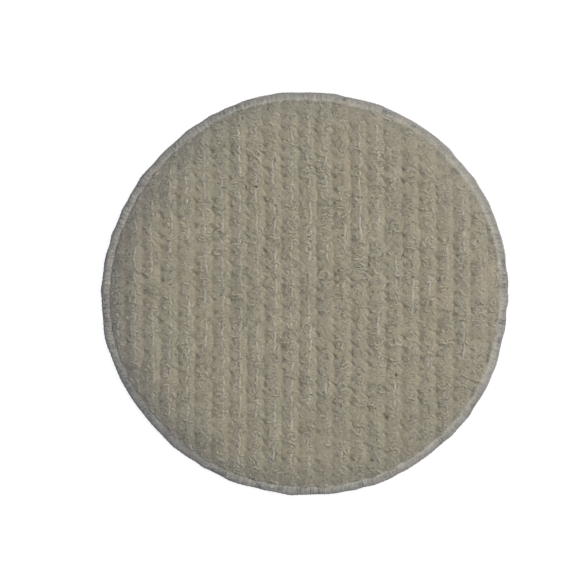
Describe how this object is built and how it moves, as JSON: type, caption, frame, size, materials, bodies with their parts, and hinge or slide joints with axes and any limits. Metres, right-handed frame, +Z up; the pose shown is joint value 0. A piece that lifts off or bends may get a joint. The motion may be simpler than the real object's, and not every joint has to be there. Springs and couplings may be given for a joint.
{
  "type": "carpet bonnet pad",
  "caption": "Round reversible carpet bonnet pad: looped cotton pile in straight rows on both faces, with an overlocked yarn edge.",
  "frame": {"origin": "middle of the pad's underside, on the plane that its lower pile rests on", "axes": "+Z up through the pad's thickness, +Y along the rows of loops, +X across the rows"},
  "size_m": [0.3057, 0.303, 0.0183],
  "materials": {
    "pile_yarn": "looped cotton pile, undyed grey-beige, matt",
    "edge_yarn": "overlocked soft yarn, paler than the pile, matt"
  },
  "bodies": {
    "root": {"face_pile_cloth": "pile_yarn", "back_pile_cloth": "pile_yarn", "edge_overlock": "edge_yarn"}
  },
  "joints": []
}
